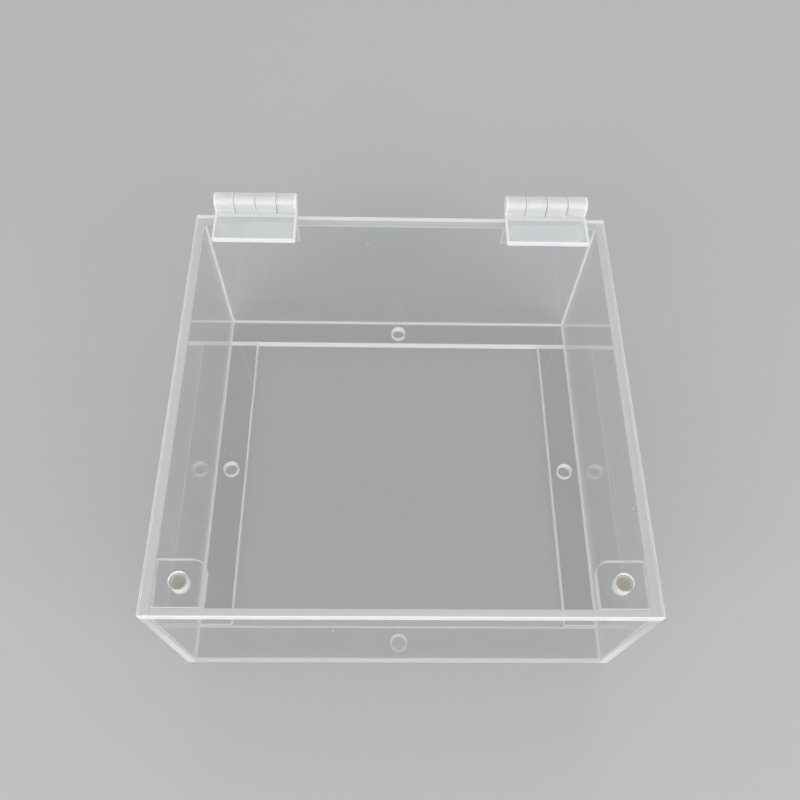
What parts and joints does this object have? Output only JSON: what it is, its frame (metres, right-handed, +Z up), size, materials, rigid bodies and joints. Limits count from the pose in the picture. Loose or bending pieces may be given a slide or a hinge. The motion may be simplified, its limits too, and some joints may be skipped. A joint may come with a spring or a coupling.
{
  "type": "cover box",
  "caption": "Clear acrylic cover box with an open foot, an inner screw flange and a flat lid on moulded hinges, held shut by magnets in its front corners.",
  "frame": {"origin": "middle of the outline, hinges included, on the surface that the box stands on or is screwed to", "axes": "+X to the right seen from the front, +Y from the front wall to the hinges, +Z up from the foot to the lid"},
  "size_m": [0.15, 0.1564, 0.0685],
  "materials": {
    "clear_sheet": "polished clear acrylic sheet",
    "clear_moulding": "moulded clear plastic, slightly milky",
    "nickel": "satin nickel plate"
  },
  "bodies": {
    "case": {"left_wall": "clear_sheet", "right_wall": "clear_sheet", "front_wall": "clear_sheet", "back_wall": "clear_sheet", "base_flange_front": "clear_sheet", "base_flange_back": "clear_sheet", "base_flange_left": "clear_sheet", "base_flange_right": "clear_sheet", "corner_tab_left": "clear_sheet", "corner_tab_right": "clear_sheet", "tab_magnet_left": "nickel", "tab_magnet_right": "nickel", "hinge_wall_leaf_left": "clear_moulding", "hinge_wall_leaf_right": "clear_moulding", "hinge_pin_left": "clear_moulding", "hinge_pin_right": "clear_moulding"},
    "lid": {"lid_panel": "clear_sheet", "lid_magnet_left": "nickel", "lid_magnet_right": "nickel", "hinge_lid_leaf_left": "clear_moulding", "hinge_lid_leaf_right": "clear_moulding"}
  },
  "joints": [
    {"name": "lid_hinge", "type": "hinge", "parent": "case", "child": "lid", "pos_m": [0, 0.07505, 0.0653], "axis": [-1, 0, 0], "range_deg": [0, 205]}
  ]
}
